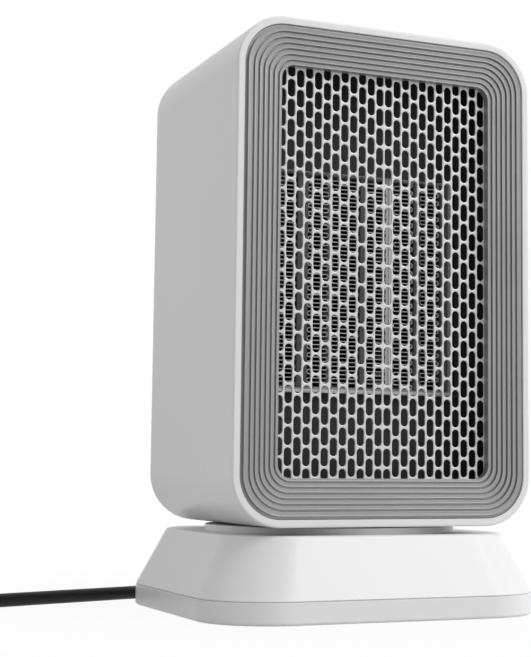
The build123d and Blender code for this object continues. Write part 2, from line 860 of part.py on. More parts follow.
def base_tray():
    """The shallow tray under the base: a straight band, bosses, foot pockets and a plunger hole."""
    outline = RectangleRounded(base_width, base_depth, base_corner_radius)
    inside = RectangleRounded(
        base_width - 2 * base_wall, base_depth - 2 * base_wall, base_corner_radius - base_wall
    )
    top = band_top - seam_gap
    screw_pocket_top = foot_proud + screw_recess + screw_head_height
    tray = tier(outline, foot_proud, top)
    tray = chamfer(tray.edges().group_by(Axis.Z)[0], base_edge_break)
    tray -= tier(inside, tray_top, top)
    for x, y in mirrored_spots(base_boss_x, base_boss_y):
        tray += rod(boss_radius, tray_top, top, x, y)
        tray -= rod(screw_radius + run_gap, foot_proud, top, x, y)
        tray -= rod(screw_head_radius + fit_gap, foot_proud, screw_pocket_top, x, y)
    for x, y in mirrored_spots(foot_inset_x, foot_inset_y):
        tray -= rod(foot_radius + slip_gap, foot_proud, foot_thickness, x, y)
    for side in (-1, 1):
        tray += rod(motor_post_radius, tray_top, ear_low, side * swing_motor_ear, gear_centres)
        hole = motor_screw_radius + run_gap
        tray -= rod(hole, tray_top + screw_end_room, ear_low, side * swing_motor_ear, gear_centres)
    tray -= rod(plunger_hole_radius, foot_proud, tray_top, tip_switch_x, tip_switch_y)
    return tray - relief_notch()


def relief_notch():
    """The round hole for the strain relief's neck, half in the tray and half in the cover."""
    bore = Cylinder(relief_neck_radius + run_gap, 3 * base_wall, rotation=(90, 0, 0))
    return Pos(relief_x, base_depth / 2 - base_wall / 2, relief_height) * bore


def rubber_feet():
    """Four round feet seated in the tray's pockets."""
    spots = mirrored_spots(foot_inset_x, foot_inset_y)
    return group(rod(foot_radius, 0, foot_thickness - run_gap, x, y) for x, y in spots)


def base_screws():
    """Four screws up through the tray into the cover's bosses."""
    low = foot_proud + fit_gap
    shank_low = low + screw_head_height
    shank_top = band_top + screw_length - screw_end_room
    made = []
    for x, y in mirrored_spots(base_boss_x, base_boss_y):
        head = rod(screw_head_radius, low, shank_low, x, y)
        made.append(head + rod(screw_radius, shank_low, shank_top, x, y))
    return group(made)


def swing_motor():
    """The small geared motor that turns the head, with two fixing ears and its shaft hole."""
    body = rod(swing_motor_radius, motor_bottom, motor_top, 0, gear_centres)
    ear = SlotCenterToCenter(2 * swing_motor_ear, swing_motor_ear_width)
    body += tier(Pos(0, gear_centres) * ear, ear_low + run_gap, ear_low + run_gap + swing_motor_ear_thickness)
    for side in (-1, 1):
        body -= rod(
            motor_screw_radius + run_gap,
            ear_low,
            ear_low + run_gap + swing_motor_ear_thickness,
            side * swing_motor_ear,
            gear_centres,
        )
    sink = swing_shaft_sink + fit_gap
    return body - rod(swing_shaft_radius + run_gap, motor_top - sink, motor_top, 0, gear_centres)


def swing_motor_screws():
    """Two screws through the motor's ears into the tray's posts."""
    top = ear_low + run_gap + swing_motor_ear_thickness
    made = []
    for x in (-swing_motor_ear, swing_motor_ear):
        head = rod(motor_screw_head_radius, top, top + motor_screw_head_height, x, gear_centres)
        made.append(head + rod(motor_screw_radius, tray_top + motor_screw_end, top, x, gear_centres))
    return group(made)


def tip_switch():
    """The tilt cut-off switch over its plunger."""
    low = tip_plunger_length + fit_gap
    body = Pos(tip_switch_x, tip_switch_y) * Rectangle(tip_switch_width, tip_switch_depth)
    switch = tier(body, low, low + tip_switch_height)
    for side in (-1, 1):
        x = tip_switch_x + side * (tip_switch_width - tip_switch_leg) / 2
        leg = Pos(x, tip_switch_y) * Rectangle(tip_switch_leg, tip_switch_depth)
        switch += tier(leg, tray_top + run_gap, low)
    return switch


def tip_plunger():
    """The plunger that the floor holds up while the heater stands."""
    body = rod(tip_plunger_radius, 0, tip_plunger_length, tip_switch_x, tip_switch_y)
    low = tray_top + tip_plunger_travel + fit_gap
    high = low + tip_plunger_collar_thickness
    return body + rod(tip_plunger_radius + tip_plunger_collar, low, high, tip_switch_x, tip_switch_y)


# ---- Mains lead -------------------------------------------------------------------------------
def relief_point(share):
    """A point and heading along the relief's bend: share 0 at its collar, 1 at its tip."""
    turn = math.radians(relief_turn * share)
    ease = share * share * (3 - 2 * share)
    x = relief_x - relief_bend_radius * (1 - math.cos(turn))
    y = base_depth / 2 + relief_collar_thickness + relief_bend_radius * math.sin(turn)
    z = relief_height + (relief_tip_height - relief_height) * ease
    return Vector(x, y, z), Vector(-math.sin(turn), math.cos(turn), 0)


def relief_radius(share):
    """The relief's radius along its taper."""
    return relief_root_radius + (relief_tip_radius - relief_root_radius) * share


def cord_relief():
    """The moulded strain relief: a neck held in the seam, two collars and a bent, ribbed taper."""
    sections = []
    for i in range(relief_ribs + 1):
        share = i / relief_ribs
        point, heading = relief_point(share)
        sections.append(Plane(origin=point, z_dir=heading) * Circle(relief_radius(share)))
    relief = loft(sections, ruled=True)
    wall_rear = base_depth / 2
    inner_rear = wall_rear - base_wall - fit_gap - relief_collar_radius * base_lean
    for y, radius, thickness in (
        (wall_rear, relief_collar_radius, relief_collar_thickness),
        (inner_rear, relief_neck_radius, wall_rear - inner_rear),
        (inner_rear - relief_collar_thickness, relief_collar_radius, relief_collar_thickness),
    ):
        disc = Cylinder(radius, thickness, rotation=(90, 0, 0))
        relief += Pos(relief_x, y + thickness / 2, relief_height) * disc
    return relief


# The lead's route from the relief's tip to the coil. It runs along the floor behind the base and
# out past its left side, in long gentle bends.
cord_route = [
    (7.1, 103.0, 3.6),
    (-6.9, 102.4, 3.3),
    (-31.0, 94.0, 3.15),
    (-70.5, 78.9, 3.15),
    (-122.0, 60.9, 3.15),
    (-169.0, 43.3, 3.15),
]


def corner_radii(points):
    """Each corner's arc: 0.45 of its shorter run over the tangent of half its turn."""
    radii = []
    for before, corner, after in zip(points, points[1:], points[2:]):
        run_in = Vector(*corner) - Vector(*before)
        run_out = Vector(*after) - Vector(*corner)
        half_turn = math.radians(run_in.get_angle(run_out)) / 2
        radii.append(0.45 * min(run_in.length, run_out.length) / math.tan(half_turn))
    return radii


def cord_tube():
    """The lead's uncoiled stretch, from the strain relief's tip into the coil's outer turn."""
    tip, heading = relief_point(1.0)
    points = [tuple(tip)] + cord_route
    radii = corner_radii(points)
    print("lead corner radii", [round(r, 1) for r in radii])
    path = FilletPolyline(*points, radius=radii)
    start = Plane(origin=points[0], z_dir=Vector(*points[1]) - Vector(*points[0]))
    tube = sweep(start * Circle(cord_radius), path=path)
    plain_volume = math.pi * cord_radius**2 * path.length
    print("lead tube volume over section times length", tube.volume / plain_volume)
    return tube


def cord_coil():
    """The outer shape of the wound-up rest of the lead, lying on the floor."""
    section = Rectangle(coil_section_width, coil_section_height)
    section = chamfer(section.vertices(), cord_radius / 2)
    middle = cord_floor_gap + coil_section_height / 2
    profile = Plane.XZ * Pos(coil_mean_radius, middle) * section
    return Pos(coil_x, coil_y) * revolve(profile, Axis.Z)


def plug_plane():
    """A plane at the plug's rear end, lying on the coil: local z points out along the blades."""
    turn = math.radians(plug_turn)
    x = coil_x + plug_offset * math.cos(turn)
    y = coil_y + plug_offset * math.sin(turn)
    z = cord_floor_gap + coil_section_height + plug_height / 2
    along = Vector(math.sin(turn), -math.cos(turn), 0)
    return Plane(origin=Vector(x, y, z) + along * plug_rear, x_dir=(-along.Y, along.X, 0), z_dir=along)


def plug_body():
    """The moulded plug, wider at its face, with a tapered tail that the lead enters."""
    back = RectangleRounded(plug_width - 2 * plug_taper, plug_height, plug_edge)
    face = RectangleRounded(plug_width, plug_height, plug_edge)
    body = loft([back, Pos(0, 0, plug_length) * face])
    tail = loft([Pos(0, 0, -plug_tail_length) * Circle(plug_tail_tip), Circle(plug_tail_root)])
    return plug_plane() * (body + tail)


def plug_blades():
    """Two flat blades standing out of the plug's face."""
    blades = []
    on_face = (Align.CENTER, Align.CENTER, Align.MIN)
    for side in (-1, 1):
        blade = Box(plug_blade_thickness, plug_blade_width, plug_blade_length, align=on_face)
        blade = chamfer(blade.edges().group_by(Axis.Z)[-1].filter_by(Axis.Y), plug_blade_thickness / 4)
        blades.append(plug_plane() * Pos(side * plug_blade_spacing / 2, 0, plug_length) * blade)
    return group(blades)


save("head_shell", head_shell())
save("front_bezel", front_bezel())
save("front_grille", front_grille())
save("rear_cover", rear_cover())
save("rear_cover_screws", rear_screws())
save("heater_carrier", heater_carrier())
save("core_frame", core_frame())
save("electrode_bars", core_bars(0, 2))
save("ceramic_bars", core_bars(1, 2))
save("fin_packs", fin_packs())
save("thermal_cutout", thermal_cutout())
save("fan_shroud", fan_shroud())
save("impeller", impeller())
save("fan_shaft", fan_shaft())
save("fan_motor", fan_motor())
save("motor_bracket", motor_bracket())
save("control_panel", control_panel())
for name, x in button_places().items():
    save(f"{name}_button", push_button(x))
save("lamp_lenses", lamp_lenses())
save("control_board", control_board())
save("board_switches", board_switches())
save("power_board", power_board())
save("board_parts", board_parts())
save("spindle", spindle())
save("spindle_screws", spindle_screws())
save("turntable_disc", turntable_disc())
save("pivot_bush", pivot_bush())
save("slip_ring", slip_ring())
save("swing_gear", swing_gear())
save("gear_clip", gear_clip())
save("swing_pinion", swing_pinion())
save("swing_shaft", swing_shaft())
save("base_shell", base_shell())
save("base_tray", base_tray())
save("rubber_feet", rubber_feet())
save("base_screws", base_screws())
save("swing_motor", swing_motor())
save("swing_motor_screws", swing_motor_screws())
save("tip_switch", tip_switch())
save("tip_plunger", tip_plunger())
save("cord_relief", cord_relief())
save("cord_tube", cord_tube())
save("cord_coil", cord_coil())
save("plug", plug_body())
save("plug_blades", plug_blades())
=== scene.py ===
import json
import math

import bmesh
import bpy
from mathutils import Matrix, Vector
from mathutils.geometry import delaunay_2d_cdt


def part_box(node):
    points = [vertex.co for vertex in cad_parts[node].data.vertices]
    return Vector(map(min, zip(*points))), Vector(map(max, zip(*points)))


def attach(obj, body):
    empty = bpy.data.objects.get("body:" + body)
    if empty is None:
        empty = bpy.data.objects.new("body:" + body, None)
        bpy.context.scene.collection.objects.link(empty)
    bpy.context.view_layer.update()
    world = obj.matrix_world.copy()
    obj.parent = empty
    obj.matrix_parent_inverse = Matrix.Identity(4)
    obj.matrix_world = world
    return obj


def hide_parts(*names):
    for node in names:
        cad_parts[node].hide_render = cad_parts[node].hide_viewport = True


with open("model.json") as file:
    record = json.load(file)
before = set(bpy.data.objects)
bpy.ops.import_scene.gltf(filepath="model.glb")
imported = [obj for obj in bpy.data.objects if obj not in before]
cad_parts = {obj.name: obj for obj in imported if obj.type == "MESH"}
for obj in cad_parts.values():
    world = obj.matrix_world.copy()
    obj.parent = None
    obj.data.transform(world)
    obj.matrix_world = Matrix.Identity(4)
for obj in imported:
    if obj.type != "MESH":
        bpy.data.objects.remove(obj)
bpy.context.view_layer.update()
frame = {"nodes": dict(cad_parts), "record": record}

# The looks of a ceramic space heater. Shapes are worked out in millimetres, in the part's own frame:
# the outlet faces -Y, +X is to the right as one faces the outlet, and +Z is up.
MM = 0.001
CORNER_STEPS = 16
WELD = 0.002    # points nearer than this become one
PAST = 5.0    # how far a cutter reaches past the wall that it cuts


def box_mm(node):
    """A CAD node's lowest and highest corners, in millimetres."""
    low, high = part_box(node)
    return low / MM, high / MM


# ---- Meshes -----------------------------------------------------------------------------------
def smooth_but_for_edges(mesh, sharp):
    """Smooth shading that stops at edges sharper than `sharp` degrees."""
    mesh.polygons.foreach_set("use_smooth", [True] * len(mesh.polygons))
    mesh.set_sharp_from_angle(angle=math.radians(sharp))


def placed(name, data):
    """A new object in the scene that shows the given mesh, curve, camera or lamp."""
    made = bpy.data.objects.new(name, data)
    bpy.context.collection.objects.link(made)
    return made


def clean_mesh(name, points, faces):
    """A mesh from points in millimetres, with doubled points joined and its faces turned outwards."""
    mesh = bpy.data.meshes.new(name)
    mesh.from_pydata([Vector(p) * MM for p in points], [], faces)
    cleaned = bmesh.new()
    cleaned.from_mesh(mesh)
    bmesh.ops.remove_doubles(cleaned, verts=cleaned.verts, dist=WELD * MM)
    bmesh.ops.recalc_face_normals(cleaned, faces=cleaned.faces)
    cleaned.to_mesh(mesh)
    cleaned.free()
    return mesh


def make_mesh(name, points, faces, material, body, replaced=(), sharp=40.0):
    """A piece from points in millimetres, smooth but for edges sharper than `sharp` degrees."""
    mesh = clean_mesh(name, points, faces)
    smooth_but_for_edges(mesh, sharp)
    mesh.materials.append(material)
    piece = placed(name, mesh)
    weighted = piece.modifiers.new("weighted", "WEIGHTED_NORMAL")
    weighted.keep_sharp = True
    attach(piece, body)
    if replaced:
        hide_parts(*replaced)
    return piece


def rounded(half_a, half_b, radius, steps=CORNER_STEPS):
    """Points (a, b) of a rounded rectangle, counter-clockwise, with the same count for every size."""
    points = []
    for quarter, (sa, sb) in enumerate(((1, 1), (-1, 1), (-1, -1), (1, -1))):
        for c, s in arc(steps, 90 * quarter, 90 * quarter + 90):
            points.append((sa * (half_a - radius) + radius * c, sb * (half_b - radius) + radius * s))
    return points


def arc(steps, start, end):
    """(cos, sin) pairs from start to end degrees."""
    turns = [math.radians(start + (end - start) * i / steps) for i in range(steps + 1)]
    return [(math.cos(t), math.sin(t)) for t in turns]


def ring_faces(rings, count, closed):
    """Quads between each ring of points and the next."""
    faces = []
    pairs = rings if closed else rings - 1
    for r in range(pairs):
        here, there = r * count, (r + 1) % rings * count
        for i in range(count):
            j = (i + 1) % count
            faces.append((here + i, here + j, there + j, there + i))
    return faces


def cap_faces(rings, count):
    """The two faces that close the first and the last ring of points."""
    last = (rings - 1) * count
    return [tuple(reversed(range(count))), tuple(range(last, last + count))]


def skin(name, rings, material, body, replaced=(), closed=False, capped=False):
    """A piece over rings of points; closed joins the last ring to the first, capped fills both."""
    count = len(rings[0])
    points = [p for ring in rings for p in ring]
    faces = ring_faces(len(rings), count, closed)
    if capped:
        faces += cap_faces(len(rings), count)
    return make_mesh(name, points, faces, material, body, replaced)


def facing_ring(half_x, half_z, radius, y, centre_z):
    """A rounded rectangle that faces the front at depth y."""
    return [(a, y, centre_z + b) for a, b in rounded(half_x, half_z, radius)]


def level_ring(half_x, half_y, radius, z, centre=(0, 0)):
    """A rounded rectangle lying flat at height z."""
    return [(centre[0] + a, centre[1] + b, z) for a, b in rounded(half_x, half_y, radius)]


def round_ring(radius, z, centre=(0, 0), steps=96):
    """A circle lying flat at height z."""
    turns = [2 * math.pi * i / steps for i in range(steps)]
    return [(centre[0] + radius * math.cos(t), centre[1] + radius * math.sin(t), z) for t in turns]


def cut(piece, rings, sharp=40.0):
    """Takes the closed shape between the first and the last ring out of the piece."""
    count = len(rings[0])
    faces = ring_faces(len(rings), count, False) + cap_faces(len(rings), count)
    cutter = placed("cutter", clean_mesh("cutter", [p for ring in rings for p in ring], faces))
    plain = placed("plain", piece.data)
    boolean = plain.modifiers.new("cut", "BOOLEAN")
    boolean.operation = "DIFFERENCE"
    boolean.solver = "EXACT"
    boolean.object = cutter
    graph = bpy.context.evaluated_depsgraph_get()
    piece.data = bpy.data.meshes.new_from_object(plain.evaluated_get(graph))
    smooth_but_for_edges(piece.data, sharp)
    bpy.data.objects.remove(cutter)
    bpy.data.objects.remove(plain)


# ---- Materials --------------------------------------------------------------------------------
def grey(level):
    """A neutral colour."""
    return (level, level, level)


def add_node(tree, kind, values=None, links=None):
    """A shader node, with values set on its inputs and other nodes' outputs linked into them."""
    node = tree.nodes.new(kind)
    for name, value in (values or {}).items():
        node.inputs[name].default_value = value
    for name, source in (links or {}).items():
        tree.links.new(source, node.inputs[name])
    return node


def surface(slot, colour, rough, metal=0.0, shine=0.5, vary=0.02, patch=18.0, grain=900.0,
            depth=0.05, stretch=(1, 1, 1)):
    """A material with faint blotches of colour and polish and a fine grain, at real scale.

    metal and shine are its metallic and specular levels, and vary is how far its colour wanders.
    patch and grain are the scales of the blotches and the grain, depth is the grain's strength,
    and stretch draws both out along an axis.
    """
    material = bpy.data.materials.new(slot + "_finish")
    material["slot"] = slot
    material.use_nodes = True
    tree = material.node_tree
    shader = tree.nodes["Principled BSDF"]
    shader.inputs["Metallic"].default_value = metal
    shader.inputs["Specular IOR Level"].default_value = shine
    place = add_node(tree, "ShaderNodeTexCoord")
    scale = add_node(tree, "ShaderNodeMapping", {"Scale": stretch}, {"Vector": place.outputs["Object"]})
    spot = {"Vector": scale.outputs["Vector"]}
    blotch = add_node(tree, "ShaderNodeTexNoise", {"Scale": patch, "Detail": 6.0}, spot)
    fine = add_node(tree, "ShaderNodeTexNoise", {"Scale": grain, "Detail": 3.0}, spot)

    low, high = 0.3, 0.7    # where most of the noise lies
    tint = add_node(tree, "ShaderNodeValToRGB", links={"Fac": blotch.outputs["Fac"]})
    darker, lighter = tint.color_ramp.elements
    darker.position = low
    lighter.position = high
    darker.color = [max(0.0, c * (1 - vary)) for c in colour] + [1]
    lighter.color = [min(1.0, c * (1 + vary)) for c in colour] + [1]
    tree.links.new(tint.outputs["Color"], shader.inputs["Base Color"])

    spread = {"From Min": low, "From Max": high, "To Min": rough * 0.9, "To Max": rough * 1.1}
    polish = add_node(tree, "ShaderNodeMapRange", spread, {"Value": blotch.outputs["Fac"]})
    tree.links.new(polish.outputs["Result"], shader.inputs["Roughness"])

    relief = {"Strength": depth, "Distance": 0.2 * MM}
    bump = add_node(tree, "ShaderNodeBump", relief, {"Height": fine.outputs["Fac"]})
    tree.links.new(bump.outputs["Normal"], shader.inputs["Normal"])
    return material


# How the grain of metal parts is drawn out, by how they are made.
TURNED = (1, 12, 1)
ROLLED = (1, 1, 9)
PRESSED = (9, 1, 1)
DRAWN = (9, 9, 1)

finishes = (
    surface("white_housing", grey(0.80), 0.34, vary=0.012, grain=1400, depth=0.06),
    surface("silver_trim", grey(0.31), 0.34, metal=0.5, vary=0.03, grain=2600, depth=0.12),
    surface("silver_grille", grey(0.63), 0.34, metal=0.3, vary=0.03, grain=2600, depth=0.12),
    surface("black_rubber", grey(0.02), 0.8, vary=0.2, grain=1500, depth=0.3),
    surface("screw_steel", grey(0.5), 0.35, metal=1.0, vary=0.08, grain=2500, depth=0.1),
    surface("bearing_plastic", (0.72, 0.72, 0.68), 0.5, vary=0.03, depth=0.1),
    surface("gear_plastic", (0.76, 0.75, 0.7), 0.5, vary=0.03, depth=0.1),
    surface("motor_steel", (0.45, 0.45, 0.46), 0.38, metal=1.0, vary=0.06, depth=0.15, stretch=TURNED),
    surface("shaft_steel", grey(0.55), 0.25, metal=1.0, vary=0.05, depth=0.1, stretch=TURNED),
    surface("carrier_black", grey(0.012), 0.6, vary=0.15, grain=1200, depth=0.25),
    surface("rotor_black", (0.014, 0.014, 0.016), 0.45, vary=0.15, grain=1200, depth=0.15),
    surface("cord_black", grey(0.010), 0.45, shine=0.25, vary=0.2, patch=60, grain=1800, depth=0.2),
    surface("blade_brass", (0.70, 0.52, 0.25), 0.28, metal=1.0, vary=0.06, depth=0.12, stretch=ROLLED),
    surface("core_metal", grey(0.68), 0.42, metal=0.3, vary=0.08, depth=0.15, stretch=PRESSED),
    surface("bar_aluminium", grey(0.09), 0.42, metal=0.4, vary=0.1, depth=0.2, stretch=DRAWN),
    surface("ceramic_bright", grey(0.80), 0.38, metal=0.3, vary=0.06, depth=0.2, stretch=DRAWN),
    surface("fin_aluminium", grey(0.66), 0.65, metal=0.1, vary=0.1, patch=60, depth=0.2),
    surface("panel_silver", grey(0.45), 0.36, metal=0.35, vary=0.03, grain=2600, depth=0.1),
    surface("button_white", grey(0.80), 0.3, vary=0.012, grain=1400, depth=0.05),
    surface("lamp_red", (0.45, 0.02, 0.01), 0.2, vary=0.05, depth=0.02),
    surface("board_green", (0.02, 0.12, 0.05), 0.35, vary=0.2, patch=200, depth=0.1),
    surface("relay_blue", (0.02, 0.06, 0.25), 0.4, vary=0.08, depth=0.1),
)
materials = {finish["slot"]: finish for finish in finishes}

# Every CAD node gets its slot's finish; a node that a piece replaces below is hidden anyway.
for entry in frame["record"]["subparts"]:
    node = frame["nodes"][entry["node"]]
    node.data.materials.clear()
    node.data.materials.append(materials[entry["material_slot"]])


# ---- Camera -----------------------------------------------------------------------------------
def make_camera():
    """A camera low on the heater's left, aimed a little upwards, with the frame cropped off-centre."""
    yaw, pitch, roll = (math.radians(a) for a in (24.398, 5.606, 0.398))
    place = (-287.6, -661.7, 63.81)
    level_run = math.cos(pitch)
    forward = Vector((math.sin(yaw) * level_run, math.cos(yaw) * level_run, math.sin(pitch)))
    level = Vector((math.cos(yaw), -math.sin(yaw), 0))
    up = level.cross(forward)
    right = level * math.cos(roll) + up * math.sin(roll)
    tipped_up = up * math.cos(roll) - level * math.sin(roll)
    camera = placed("camera", bpy.data.cameras.new("camera"))
    turned = Matrix((right, tipped_up, -forward)).transposed().to_4x4()
    camera.matrix_world = Matrix.Translation(Vector(place) * MM) @ turned
    camera.data.sensor_width = 36.0
    camera.data.lens = 85.107
    camera.data.shift_x = -0.137
    camera.data.shift_y = -0.0189
    camera.data.clip_start = 0.01
    camera.data.clip_end = 20.0
    bpy.context.scene.camera = camera


make_camera()

# ---- Mains lead -------------------------------------------------------------------------------
# The lead's route from the strain relief's tip to the coil, as the CAD route runs, in millimetres.
cord_route = [
    (17.73, 100.11, 3.7),
    (7.1, 103.0, 3.6),
    (-6.9, 102.4, 3.3),
    (-31.0, 94.0, 3.15),
    (-70.5, 78.9, 3.15),
    (-122.0, 60.9, 3.15),
]
cord_diameter = 6.2
cord_slip = 0.05    # between one layer of turns and the next
coil_start = -70.06    # degrees round the coil where the first turn starts
# The plug's axis is square to the coil's spoke at plug_turn degrees, plug_offset from its centre.
plug_turn = -30.0
plug_offset = 26.0
plug_axis_z = 20.65
tail_tip = -5.0    # the plug's tail, along its axis
tail_overlap = 1.0

coil_low, coil_high = box_mm("cord_coil")
coil_centre = (coil_low + coil_high) / 2


def ease(share):
    """0 to 1, slow at both ends."""
    share = min(1.0, max(0.0, share))
    return share * share * (3 - 2 * share)


def plug_point(along, across=0.0, up=0.0):
    """A point by the plug: along its axis towards the blades, across it outwards, and up."""
    turn = math.radians(plug_turn)
    away = plug_offset + across
    x = coil_centre.x + away * math.cos(turn) + along * math.sin(turn)
    y = coil_centre.y + away * math.sin(turn) - along * math.cos(turn)
    return (x, y, plug_axis_z + up)


def coil_points(steps_per_turn=24):
    """Turns of the coil, three rings inwards on the floor and three outwards on them, then the plug."""
    outer = coil_high.x - coil_centre.x - cord_diameter / 2 - 2 * cord_slip
    ring = [outer - cord_diameter * i for i in range(3)]
    low = cord_diameter / 2 + cord_slip
    mid = low + cord_diameter + cord_slip
    top = mid + cord_diameter + cord_slip
    leave_radius = 38.0
    lead_in = 28.0
    # The last bend, of radius lead_in, leaves the coil and ends in line with the plug's axis.
    offset = leave_radius - lead_in
    spread = math.degrees(math.acos((plug_offset - lead_in) / offset))
    leave = (coil_start - plug_turn - spread) % 360 + 5 * 360
    # Degrees turned so far, the ring's radius and the height; between two rows both ease across.
    stages = [
        (0, ring[0], low), (300, ring[0], low),
        (360, ring[1], low), (660, ring[1], low),
        (720, ring[2], low), (1000, ring[2], low),
        (1080, ring[2], mid), (1380, ring[2], mid),
        (1440, ring[1], mid), (1740, ring[1], mid),
        (1800, ring[0], mid), (1925, ring[0], mid),
        (1985, leave_radius, top), (leave, leave_radius, top),
    ]
    step = 360 / steps_per_turn
    # The spline passes inside its points, so they stand a little further out.
    fuller = 1 / math.cos(math.radians(step / 2))
    points = []
    for i in range(int(leave / step) + 1):
        turned = i * step
        for (t0, r0, z0), (t1, r1, z1) in zip(stages, stages[1:]):
            if t0 <= turned < t1:
                share = ease((turned - t0) / (t1 - t0))
                radius = (r0 + (r1 - r0) * share) * fuller
                angle = math.radians(coil_start - turned)
                x = coil_centre.x + radius * math.cos(angle)
                y = coil_centre.y + radius * math.sin(angle)
                points.append((x, y, z0 + (z1 - z0) * share))
    start = math.radians(plug_turn + spread)
    bend_x = coil_centre.x + offset * math.cos(start)
    bend_y = coil_centre.y + offset * math.sin(start)
    for i in range(1, int(spread / step) + 1):
        angle = start - math.radians(i * step)
        rise = ease(i * step / spread)
        x = bend_x + lead_in * fuller * math.cos(angle)
        y = bend_y + lead_in * fuller * math.sin(angle)
        points.append((x, y, top + (plug_axis_z - top) * rise))
    return points + [plug_point(tail_tip + tail_overlap)]


def cord_curve(points, name, diameter):
    """A round cord along one smooth NURBS line through its route."""
    data = bpy.data.curves.new(name, "CURVE")
    data.dimensions = "3D"
    spline = data.splines.new("NURBS")
    spline.points.add(len(points) - 1)
    for point, place in zip(spline.points, points):
        point.co = (*[c * MM for c in place], 1.0)
    spline.order_u = 3
    spline.use_endpoint_u = True
    spline.resolution_u = 8
    data.bevel_depth = diameter / 2 * MM
    data.bevel_resolution = 6
    data.use_fill_caps = True
    return placed(name, data)


# Where the strain relief's axis passes the back wall, and the radius of its neck in the wall.
relief_place = (37.0, 73.0, 9.225)
relief_neck = 4.0


def tube_ring(centre, heading, radius, steps=24):
    """A circle about a point, square to a level heading."""
    x, y, z = centre
    hx, hy = heading
    turns = [2 * math.pi * i / steps for i in range(steps)]
    return [
        (x - hy * radius * math.cos(t), y + hx * radius * math.cos(t), z + radius * math.sin(t))
        for t in turns
    ]


def make_strain_relief():
    """A moulded sleeve: a neck in the wall, a collar outside it, then a bent taper of ribs."""
    x, y, z = relief_place
    neck_start = -5.0
    collar = 5.4
    collar_long = 2.0
    collar_edge = 0.4
    bend = 26.0
    turn_total = math.radians(75.0)
    root = 4.8
    tip = 3.6
    tip_z = 3.7
    rib_count = 9
    shallower = 0.7    # by what share the ribs are less deep at the tip
    profile = (
        (neck_start, relief_neck), (0.0, relief_neck), (0.0, collar - collar_edge),
        (collar_edge, collar), (collar_long - collar_edge, collar),
        (collar_long, collar - collar_edge),
    )
    rings = [tube_ring((x, y + along, z), (0, 1), radius) for along, radius in profile]
    # Each rib: share of its length, and how far its surface lies under the taper.
    section = (
        (0.0, 0.55), (0.08, 0.12), (0.18, 0.0), (0.52, 0.0), (0.62, 0.12), (0.70, 0.55), (0.98, 0.55),
    )
    for rib in range(rib_count):
        for share, sunk in section:
            s = (rib + share) / rib_count
            turn = turn_total * s
            centre = (
                x - bend * (1 - math.cos(turn)),
                y + collar_long + bend * math.sin(turn),
                z + (tip_z - z) * ease(s),
            )
            radius = root + (tip - root) * s - sunk * (1 - shallower * s)
            rings.append(tube_ring(centre, (-math.sin(turn), math.cos(turn)), radius))
    return skin("strain_relief", rings, materials["cord_black"], "base", ["cord_relief"], capped=True)


def plug_ring(along, half_wide, half_tall, corner):
    """A rounded rectangle square to the plug's axis."""
    return [plug_point(along, a, b) for a, b in rounded(half_wide, half_tall, corner, steps=8)]


def make_plug():
    """The moulded plug: a ribbed tail, a waisted body with a finger grip and a softened face."""
    rear = 9.0
    length = 30.0
    tail = rear - tail_tip
    tail_start = 3.5
    tail_grows = 1.1
    tail_flat = 0.001    # keeps its rings just short of a full round
    rib_count = 5
    # Each rib of the tail: share of its length, and how far it lies under the cone.
    section = ((0.0, 0.0), (0.5, 0.0), (0.6, 0.45), (0.92, 0.45))
    rings = []
    for rib in range(rib_count):
        for share, sunk in section:
            s = (rib + share) / rib_count
            radius = tail_start + tail_grows * s - sunk
            rings.append(plug_ring(tail_tip + tail * s, radius, radius, radius - tail_flat))
    # Along the body: half width, half height, corner radius.
    body = (
        (0.0, 4.6, 4.6, 4.4),
        (0.2, 7.8, 6.9, 3.4),
        (1.0, 8.7, 7.6, 3.8),
        (2.4, 9.1, 8.0, 4.0),
        (8.0, 9.7, 8.0, 4.0),
        (10.0, 9.4, 7.3, 3.8),
        (15.0, 9.9, 7.0, 3.6),
        (20.0, 10.7, 7.3, 3.8),
        (22.0, 11.1, 8.0, 4.0),
        (length - 1.2, 11.9, 8.0, 4.0),
        (length - 0.35, 11.7, 7.75, 3.8),
        (length, 11.0, 7.1, 3.3),
    )
    rings += [plug_ring(rear + along, a, b, r) for along, a, b, r in body]
    return skin("mains_plug", rings, materials["cord_black"], "base", ["plug"], capped=True)


route = cord_route + coil_points()
lead = cord_curve(route, "mains_lead", cord_diameter)
lead.data.materials.append(materials["cord_black"])
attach(lead, "base")
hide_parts("cord_tube", "cord_coil")
make_strain_relief()
make_plug()


# ---- Head shell -------------------------------------------------------------------------------
head_low, head_high = box_mm("head_shell")
head_half_x = head_high.x
head_half_z = (head_high.z - head_low.z) / 2
head_mid_z = (head_high.z + head_low.z) / 2
head_front = head_low.y
head_rear = head_high.y
head_corner = 21.8
least_corner = 1.0
rim_width = 3.35
rim_depth = 9.0
rim_round = 0.95
rim_inner_round = 0.35
shell_wall = 2.4
rear_round = 12.0
rear_edge = 0.4
cover_corner = 14.0
cover_ledge = 5.0
panel_seat = 1.4    # how deep the control panel is sunk into the top
panel_ledge = 1.95
panel_flat = 0.01    # keeps the seat's ends just short of a full round
spindle_hole = 16.3
slip = 0.15


def head_ring(inset, y):
    """The head's outline, inset on every side, at depth y."""
    radius = max(head_corner - inset, least_corner)
    return facing_ring(head_half_x - inset, head_half_z - inset, radius, y, head_mid_z)


